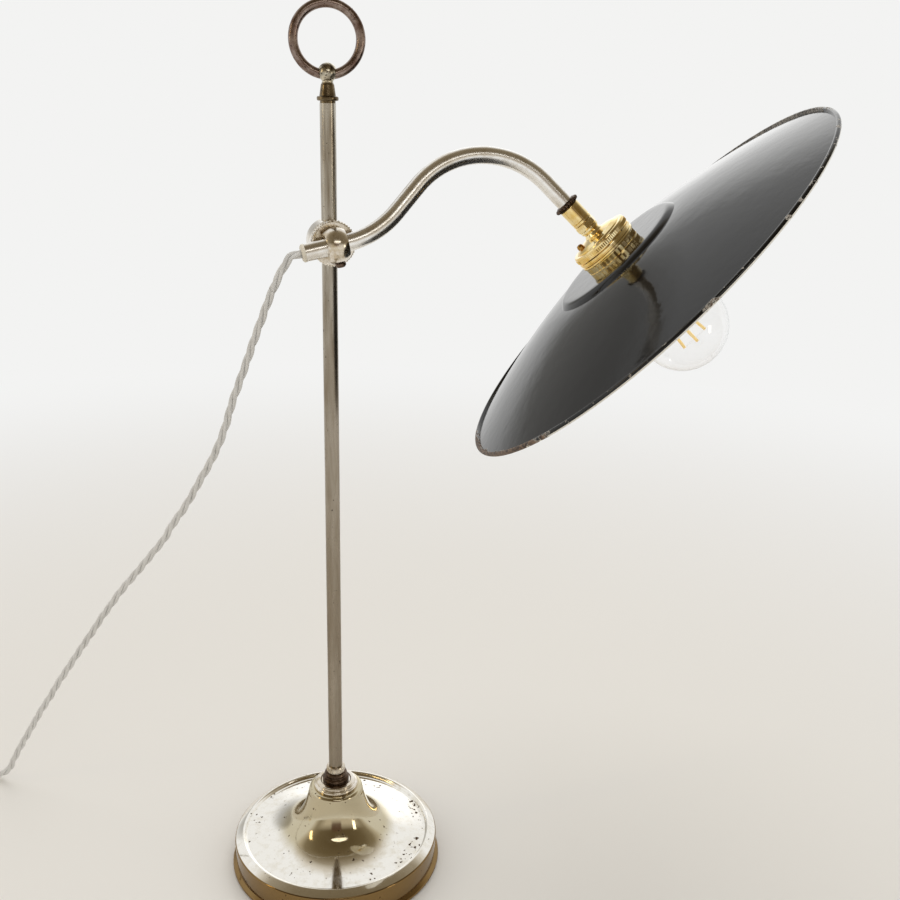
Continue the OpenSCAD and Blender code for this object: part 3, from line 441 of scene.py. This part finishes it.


# the base gets painted reflections by distance from the axis: a warm tint on the bell and a brown band on the outer
# side of the foot
base_nickel = worn_metal("base_nickel", "#F8F5EE", "#D8CDB4", "#54402A", 0.05, 0.16, patch_mm=38, bump=0.05,
                         tint_at=(0.58, 0.92), pit_mm=3.2, stained_ring=(0.052, 0.069),
                         reflection_by_radius=[(0.047, 0.036, "#CBC0A4"), (0.0750, 0.0753, "#8A7048")])
nickel = worn_metal("aged_nickel", "#F1EBE2", "#C4B597", "#4A3C2C", 0.08, 0.22, patch_mm=14, bump=0.06, pits=0.72)
eye_nickel = worn_metal("eye_nickel", "#F0EAE0", "#B9A47C", "#4A3C2C", 0.16, 0.24, patch_mm=9, bump=0.02, pits=0.76)
dull_nickel = worn_metal("dull_nickel", "#EBE3D6", "#B0A186", "#2C241C", 0.16, 0.3, patch_mm=10, bump=0.04,
                         pits=0.72)
# the column is painted lighter from 0.36 m up to 0.5 m: a painted reflection
column_nickel = worn_metal("streaked_nickel", "#A59B8C", "#75654E", "#3B3026", 0.22, 0.4, patch_mm=22,
                           streak=(1, 1, 0.1), tint_at=(0.38, 0.66), pits=0.71, bump=0.12,
                           band=(0.36, 0.5, "#F2EFE4"))
arm_nickel = worn_metal("arm_nickel", "#F6F4F0", "#D3C9B8", "#6A5A48", 0.22, 0.3, patch_mm=20,
                        tint_at=(0.46, 0.8), pits=0.78, bump=0.006)
bronze = worn_metal("dark_bronze", "#7C6B5E", "#4E3C2E", "#1D1712", 0.22, 0.45, patch_mm=12,
                    tint_at=(0.35, 0.65), pits=0.62, pit_mm=1.4, bump=0.3)
ring_steel = worn_metal("ring_steel", "#A3948A", "#6C564B", "#2A201B", 0.18, 0.36, patch_mm=9,
                        tint_at=(0.35, 0.65), pits=0.66, pit_mm=1.2, bump=0.25)
finial_brass = worn_metal("finial_brass", "#7E6F56", "#4C3F2C", "#231B12", 0.16, 0.34, patch_mm=8,
                          tint_at=(0.4, 0.7), pits=0.66, pit_mm=1.2, bump=0.2, band=(0.5585, 0.5615, "#F2E9D2"))
brass = worn_metal("polished_brass", "#FEEFC0", "#E9C46E", "#6A4E1F", 0.07, 0.16, patch_mm=16, pits=0.76, bump=0.03)
old_brass = worn_metal("old_brass", "#B78A45", "#86602C", "#3A2812", 0.16, 0.32, patch_mm=6, pits=0.7, bump=0.1)
iron = worn_metal("cast_iron", "#55524E", "#3A342E", "#15120F", 0.55, 0.8, patch_mm=10, pits=0.6, bump=0.6)
aluminium = worn_metal("plain_aluminium", "#D8D8D6", "#B9B8B4", "#55524C", 0.25, 0.4, patch_mm=15, pits=0.8)
print("metals ready")

# %% [markdown]
# ## Fabric of the flex
# The braid is two sets of threads that cross on the slant. Two waves on the UV map, one leaning each way, multiply
# into small diamonds. They raise the threads, and painted shade darkens the gaps between them.

# %% Braided fabric
def braided(name, light, gap_shade_and_soil):
    material, tree, surface = new_material(name)
    place = knot(tree, "ShaderNodeSeparateXYZ", {"Vector": knot(tree, "ShaderNodeUVMap", uv_map="along").outputs["UV"]})
    round_it = sums(tree, "MULTIPLY", place.outputs["X"], 8 * 2 * math.pi)
    along = sums(tree, "MULTIPLY", place.outputs["Y"], 2 * math.pi / 1.5)
    threads = [knot(tree, "ShaderNodeMath", {0: sums(tree, kind, round_it, along)}, operation="SINE").outputs[0]
               for kind in ("ADD", "SUBTRACT")]
    weave = sums(tree, "MULTIPLY", *threads)
    height = knot(tree, "ShaderNodeMapRange", {"Value": weave, "From Min": -1, "From Max": 1}).outputs["Result"]
    soil = cloud(tree, knot(tree, "ShaderNodeTexCoord").outputs["Object"], 9, 3)
    # painted shade: the gaps between the threads are darker; the soil blotches take the same colour
    colour = blend_colour(tree, ramp(tree, height, [(0.1, 1.0), (0.55, 0.0)]), light, gap_shade_and_soil)
    colour = blend_colour(tree, ramp(tree, soil, [(0.5, 0.0), (0.8, 0.35)]), colour, gap_shade_and_soil)
    bump = knot(tree, "ShaderNodeBump", {"Height": height, "Strength": 0.5, "Distance": 0.0002})
    tree.links.new(colour, surface.inputs["Base Color"])
    tree.links.new(bump.outputs["Normal"], surface.inputs["Normal"])
    surface.inputs["Roughness"].default_value = 0.55
    surface.inputs["Sheen Weight"].default_value = 0.4
    surface.inputs["Sheen Roughness"].default_value = 0.4
    return material


silver_braid = braided("silver_braid", "#EEEDEA", "#A19E99")
for piece in (flex, flex_neck):
    piece.data.materials.append(silver_braid)
print("flex covered")

# %% [markdown]
# ## Plain stuffs
# Plastics, felt and the bulb's inner pieces are simpler, but none of them is one flat colour: each gets a slow
# change of tone and a fine grain in its surface.

# %% Plastics and felt
def moulded(name, colour, deeper, rough, grain_mm=0.5, bump=0.05, specular=0.5):
    material, tree, surface = new_material(name)
    where = knot(tree, "ShaderNodeTexCoord").outputs["Object"]
    tone = ramp(tree, cloud(tree, where, 14, 3), [(0.35, 0.0), (0.75, 1.0)])
    tree.links.new(blend_colour(tree, tone, colour, deeper), surface.inputs["Base Color"])
    grain = knot(tree, "ShaderNodeBump", {"Height": cloud(tree, where, grain_mm, 2), "Strength": bump,
                                          "Distance": 0.0002})
    tree.links.new(grain.outputs["Normal"], surface.inputs["Normal"])
    surface.inputs["Roughness"].default_value = rough
    surface.inputs["Specular IOR Level"].default_value = specular
    return material


cream = moulded("cream_plastic", "#E9E2D2", "#D8CFBC", 0.45)
white_plastic = moulded("white_plastic", "#EDEDEA", "#E2E1DD", 0.3)
insulation = moulded("brown_insulator", "#3A2A20", "#2A1D16", 0.35)
felt = moulded("green_felt", "#28452F", "#1C3323", 0.95, grain_mm=0.8, bump=0.8, specular=0.1)
filament = moulded("amber_filament", "#FFE6A6", "#FFD480", 0.5)
# painted light: the yellow coating of the unlit filament is given a weak glow, though the bulb is off
filament.node_tree.nodes["Principled BSDF"].inputs["Emission Color"].default_value = paint("#FFD470")
filament.node_tree.nodes["Principled BSDF"].inputs["Emission Strength"].default_value = 0.28
print("stuffs ready")

# %% [markdown]
# ## Clear glass
# Glass needs both of its faces, so the globe has a real wall. The material is clear with almost no colour.

# %% Glass
glass, tree, surface = new_material("clear_glass")
surface.inputs["Base Color"].default_value = (1, 1, 1, 1)
surface.inputs["Transmission Weight"].default_value = 1.0
surface.inputs["Roughness"].default_value = 0.0
surface.inputs["IOR"].default_value = 1.45

# %% [markdown]
# ## Enamel
# Vitreous enamel is glass fused onto steel: a deep gloss over black, white inside. The fired coat isn't quite
# flat, which softens its reflections, and it chips at the rim, where the steel shows dark with pale edges.
# The pattern is centred on the lampholder's axis with a Mapping node, so "near the rim" is a distance from the axis.

# %% Place of the lampholder
ARM_ROLL = math.radians(-15.16)
HOLDER = (Matrix.Translation((0, -24 * MM, 465 * MM)) @ Matrix.Rotation(-ARM_RISE, 4, "Y")
          @ Matrix.Rotation(ARM_ROLL, 4, "X") @ Matrix.Translation((150.718 * MM, 0, -7.386 * MM))
          @ Matrix.Rotation(math.radians(148), 4, "Y"))
print("holder points along", tuple(round(v, 3) for v in HOLDER.col[2][:3]))


# %% Enamel recipe
def enamel(name, colour, deeper, chip_dark, chip_pale):
    material, tree, surface = new_material(name)
    where = knot(tree, "ShaderNodeTexCoord").outputs["Object"]
    turned = knot(tree, "ShaderNodeMapping", {
        "Vector": where, "Location": HOLDER.to_translation(), "Rotation": HOLDER.to_euler()}, vector_type="TEXTURE")
    place = knot(tree, "ShaderNodeSeparateXYZ", {"Vector": turned.outputs["Vector"]})
    flat = knot(tree, "ShaderNodeCombineXYZ", {"X": place.outputs["X"], "Y": place.outputs["Y"]})
    from_axis = knot(tree, "ShaderNodeVectorMath", {0: flat.outputs[0]}, operation="LENGTH").outputs["Value"]
    near_rim = knot(tree, "ShaderNodeMapRange", {
        "Value": from_axis, "From Min": 0.1495, "From Max": 0.1530, "To Min": 0.0, "To Max": 0.21}).outputs["Result"]
    # the two ends that get knocked are worn in a wider band: grey at one, brown at the other
    ends = knot(tree, "ShaderNodeMapRange", {
        "Value": sums(tree, "ABSOLUTE", place.outputs["X"], 0.0), "From Min": 0.128, "From Max": 0.147})
    band = knot(tree, "ShaderNodeMapRange", {"Value": from_axis, "From Min": 0.1460, "From Max": 0.1520})
    worn_ends = sums(tree, "MULTIPLY", sums(tree, "MULTIPLY", ends.outputs["Result"], band.outputs["Result"]), 0.34)
    blobs = sums(tree, "ADD", cloud(tree, where, 7, 6, 0.72), sums(tree, "ADD", near_rim, worn_ends))
    chipped = ramp(tree, blobs, [(0.84, 0.0), (0.86, 1.0)])
    edge = ramp(tree, blobs, [(0.815, 0.0), (0.83, 1.0)])
    tone = blend_colour(tree, cloud(tree, where, 60, 2), colour, deeper)
    tone = blend_colour(tree, edge, tone, chip_pale)
    grey_end = knot(tree, "ShaderNodeMapRange", {
        "Value": place.outputs["X"], "From Min": 0.02, "From Max": -0.06}).outputs["Result"]
    mottle = ramp(tree, cloud(tree, where, 2.2, 3), [(0.4, 0.0), (0.6, 1.0)])
    rust = blend_colour(tree, mottle, chip_dark, "#7A6553")
    steel = blend_colour(tree, mottle, "#4E4A46", "#A39E97")
    bare = blend_colour(tree, grey_end, rust, steel)
    tree.links.new(blend_colour(tree, chipped, tone, bare), surface.inputs["Base Color"])
    tree.links.new(sums(tree, "ADD", 0.09, sums(tree, "MULTIPLY", edge, 0.45)), surface.inputs["Roughness"])
    ripple = sums(tree, "ADD", sums(tree, "MULTIPLY", cloud(tree, where, 16, 3, 0.6), 0.9),
                  sums(tree, "MULTIPLY", cloud(tree, where, 0.8, 2), 0.02))
    bump = knot(tree, "ShaderNodeBump", {
        "Height": sums(tree, "SUBTRACT", ripple, chipped), "Strength": 0.5, "Distance": 0.0004})
    tree.links.new(bump.outputs["Normal"], surface.inputs["Normal"])
    surface.inputs["Specular IOR Level"].default_value = 0.42
    return material


black_enamel = enamel("black_enamel", "#101011", "#080808", "#3B2E26", "#B9B3A8")
white_enamel = enamel("white_enamel", "#EBE8E0", "#E1DDD2", "#4A3B30", "#A29A8E")
print("enamel ready")

# %% [markdown]
# ## Spinning a shape
# The base, the shade, the globe and the small collar are round, so they are made as a spinner makes them: a ring of
# edges is drawn out along an outline, point by point, wider or narrower each time. A closed outline ends on its
# first point, where the two rings are merged. What sits on the lampholder is made upright and then set in place.

# %% Spinning by extruding a ring
def spun(name, outline, steps):
    """outline: points (distance from the axis, height) in mm"""
    outline = [(r * MM, z * MM) for r, z in outline]
    bpy.ops.object.select_all(action="DESELECT")
    bpy.ops.mesh.primitive_circle_add(vertices=steps, radius=outline[0][0], location=(0, 0, 0))
    piece = bpy.context.object
    piece.name = name
    bpy.ops.object.mode_set(mode="EDIT")
    bpy.ops.mesh.select_mode(type="EDGE")
    bpy.ops.mesh.select_all(action="SELECT")
    bpy.ops.transform.translate(value=(0, 0, outline[0][1]))
    for (r0, z0), (r1, z1) in zip(outline, outline[1:]):
        bpy.ops.mesh.extrude_edges_move(TRANSFORM_OT_translate={"value": (0, 0, z1 - z0)})
        bpy.ops.transform.resize(value=(r1 / r0, r1 / r0, 1), center_override=(0, 0, 0))
    bpy.ops.mesh.select_all(action="SELECT")
    bpy.ops.mesh.remove_doubles(threshold=0.00001)
    bpy.ops.mesh.normals_make_consistent(inside=False)
    bpy.ops.object.mode_set(mode="OBJECT")
    return piece


def set_on_holder(piece):
    bpy.ops.object.select_all(action="DESELECT")
    piece.select_set(True)
    bpy.context.view_layer.objects.active = piece
    piece.matrix_world = HOLDER
    bpy.ops.object.transform_apply(location=True, rotation=True, scale=True)
    bpy.ops.object.shade_smooth_by_angle(angle=math.radians(40))


print("ready to spin")

# %% [markdown]
# ## Base
# The base is one spun sheet: a beaded foot, an upright band, a raised rim, and a bell that sweeps up to the seat of
# the column. The bell follows a power curve, steep at the neck and flat at the rim. In close steps it mirrors the
# room in one sweep, without bands. The edges of the rim and the seat are rounded, and the sheet gets its thickness
# from a Solidify modifier.

# %% Base
NECK_R, WELL_Z, SWEEP_TOP_Z, SEAT_Z = 20, 20, 58.3, 61.5
SWEEP_IN_R, SWEEP_OUT_R, SWEEP_STEPS = 20.3, 66, 72


def sweep_height(r):
    return WELL_Z + (SWEEP_TOP_Z - WELL_Z) * (NECK_R / r) ** 2.5


def eased(corners, steps=6):
    """corners: (distance from the axis, height, radius of its rounding), where 0 stays sharp"""
    points = []
    for i, (r, z, radius) in enumerate(corners):
        at = Vector((r, z))
        if radius == 0:
            points.append((r, z))
            continue
        back, on = ((Vector(corners[k][:2]) - at).normalized() for k in (i - 1, i + 1))
        half = back.angle(on) / 2
        middle = at + (back + on).normalized() * radius / math.sin(half)
        first, last = ((at + way * radius / math.tan(half) - middle).normalized() for way in (back, on))
        points += [tuple(middle + radius * first.slerp(last, k / steps)) for k in range(steps + 1)]
    return points


foot_bead = [(76.3 + 1.7 * math.cos(a), 2.0 + 1.7 * math.sin(a)) for a in
             (math.radians(-150 + 220 * k / 16) for k in range(17))]
rim = eased([(75.3, 4.6, 0), (75.9, 21, 1.6), (69, 25.6, 1.6), (67.6, 22.2, 0), (66.8, sweep_height(SWEEP_OUT_R), 0)])
sweep = [(r, sweep_height(r)) for r in (
    SWEEP_OUT_R * (SWEEP_IN_R / SWEEP_OUT_R) ** (k / SWEEP_STEPS) for k in range(SWEEP_STEPS + 1))]
seat = eased([(SWEEP_IN_R, sweep_height(SWEEP_IN_R) + 0.1, 0), (19.4, SEAT_Z, 2.4), (5.05, SEAT_Z, 0)])
base = spun("spun_base", foot_bead + rim + sweep + seat, 144)
bpy.ops.object.shade_smooth_by_angle(angle=math.radians(28))
bpy.ops.object.modifier_add(type="SOLIDIFY")
base.modifiers[-1].thickness = 1 * MM
base.modifiers[-1].offset = -1
base.modifiers[-1].use_even_offset = True
base.data.materials.append(base_nickel)
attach(base, "root")
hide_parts("base_shell")
print(len(base.data.polygons), "faces on the base, seat facing",
      "up" if max(base.data.polygons, key=lambda face: face.center.z).normal.z > 0 else "down")

# %% [markdown]
# ## Shade
# The shade is one sheet of steel: a flat top round the lampholder, a small step, a dish that opens gently, and a
# rolled rim. Black enamel covers the outside and the rim, and white enamel the inside, which faces the table.

# %% Shade
SHADE_TOP, SHADE_DEPTH, SHEET = 46, 27, 1
RIM_R, BEAD_R = 152.4, 1.6
top = [(14.6, 46), (40, 46), (43.5, 46), (45.0, 46.15), (46.2, 46.6), (47.3, 47.4), (48.4, 48.4), (49, 49.0)]
top += [(49 + 102.2 * k / 28, 49 + 24 * (k / 28) ** 1.3) for k in range(1, 29)]
turns = [math.radians(-110 + 280 * k / 14) for k in range(15)]
bead = [(RIM_R + BEAD_R * math.cos(a), SHADE_TOP + SHADE_DEPTH + BEAD_R * math.sin(a)) for a in turns]
inner = [(r, z + SHEET) for r, z in reversed(top)]
shade = spun("shade_dish", top + bead + inner + [top[0]], 144)
shade.data.materials.append(black_enamel)
shade.data.materials.append(white_enamel)
for face in shade.data.polygons:
    if face.normal.z > 0.25:
        face.material_index = 1
set_on_holder(shade)
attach(shade, "arm")
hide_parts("shade")
print(len(shade.data.polygons), "faces on the shade")

# %% [markdown]
# ## Bulb
# The globe is blown glass with a real wall, spun like the shade: down the outside from the cap over the neck and the
# ball to the tip, and back up the inside. It ends on a tiny circle at the tip.

# %% Bulb
GLOBE_R, GLOBE_AT, WALL = 30, 114, 0.7
neck = [(10.5, 58), (10.5, 65), (10.7, 67), (11.3, 69.5), (12.3, 72.5), (13.9, 77)]
ball = [(GLOBE_R * math.cos(a), GLOBE_AT + GLOBE_R * math.sin(a))
        for a in (math.radians(-47 + 136.5 * k / 36) for k in range(37))]
between = [(neck[-1][0] + (ball[0][0] - neck[-1][0]) * k / 4, neck[-1][1] + (ball[0][1] - neck[-1][1]) * k / 4)
           for k in range(1, 4)]
outside = neck + between + ball
inside = [(max(r - WALL, 0.25), z) for r, z in neck + between]
inside += [((GLOBE_R - WALL) / GLOBE_R * r, GLOBE_AT + (GLOBE_R - WALL) / GLOBE_R * (z - GLOBE_AT)) for r, z in ball]
globe = spun("bulb_globe", outside + inside[::-1] + [outside[0]], 64)
globe.data.materials.append(glass)
set_on_holder(globe)
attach(globe, "arm")
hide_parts("bulb_glass")
print(len(globe.data.polygons), "faces on the bulb")

# %% [markdown]
# ## Beaded collar at the end of the arm
# The dark collar where the arm meets the lampholder has a row of small beads round it. One bead is made and spun
# round into a full row.

# %% Beaded collar
collar = spun("beaded_collar", [(5.55, 0), (6.6, 0), (7.3, 0.5), (7.6, 1.1), (7.6, 2.6), (7.3, 3.1), (6.6, 3.6),
                                (5.55, 3.6), (5.55, 0)], 48)
bpy.ops.object.select_all(action="DESELECT")
bpy.ops.mesh.primitive_uv_sphere_add(segments=12, ring_count=8, radius=1.25 * MM,
                                     location=(7.5 * MM, 0, 1.85 * MM))
beads = bpy.context.object
beads.name = "collar_beads"
bpy.ops.object.transform_apply(location=True, rotation=True, scale=True)
bpy.ops.object.mode_set(mode="EDIT")
bpy.ops.mesh.select_all(action="SELECT")
bpy.ops.mesh.spin(steps=22, dupli=True, angle=2 * math.pi, center=(0, 0, 0), axis=(0, 0, 1))
bpy.ops.mesh.select_all(action="SELECT")
bpy.ops.mesh.remove_doubles(threshold=0.00001)
bpy.ops.object.mode_set(mode="OBJECT")
for piece in (collar, beads):
    piece.data.materials.append(bronze)
    set_on_holder(piece)
    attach(piece, "arm")
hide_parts("arm_end_collar")
print(len(beads.data.polygons), "faces on the beads")

# %% [markdown]
# ## Dress the solid parts
# Most of the turned and bent parts already have their exact shape, so they only need their finish.

# %% Finishes by part
finish = {
    base_nickel: ["base_shell"],
    nickel: ["seat_ring", "slider_drum", "drum_cap"],
    eye_nickel: ["arm_eye"],
    dull_nickel: ["thumb_wheel", "foot_lock_ring", "clamp_washer"],
    column_nickel: ["column"],
    arm_nickel: ["arm_tube"],
    bronze: ["foot_collar", "arm_lock_screw", "arm_end_collar"],
    old_brass: ["cap_screw"],
    ring_steel: ["carrying_ring"],
    finial_brass: ["finial"],
    brass: ["base_nut", "draw_eye", "nipple", "coupling_sleeve", "lock_nut", "holder_cap", "cap_ring", "middle_ring",
            "shade_ring_upper", "shade_ring_lower", "holder_body", "contact_plungers", "plug_pins", "plug_screw"],
    iron: ["base_weight"],
    aluminium: ["base_washer", "bulb_cap"],
    felt: ["base_baize"],
    cream: ["cord_bush"],
    silver_braid: ["inner_flex"],
    black_enamel: ["shade"],
    insulation: ["insulator"],
    glass: ["bulb_glass", "bulb_stem"],
    filament: ["bulb_filaments"],
    white_plastic: ["coil_tie", "plug_cover", "plug_base"],
}
for material, names in finish.items():
    for name in names:
        parts[name].data.materials.clear()
        parts[name].data.materials.append(material)
print(sum(len(names) for names in finish.values()), "parts dressed")
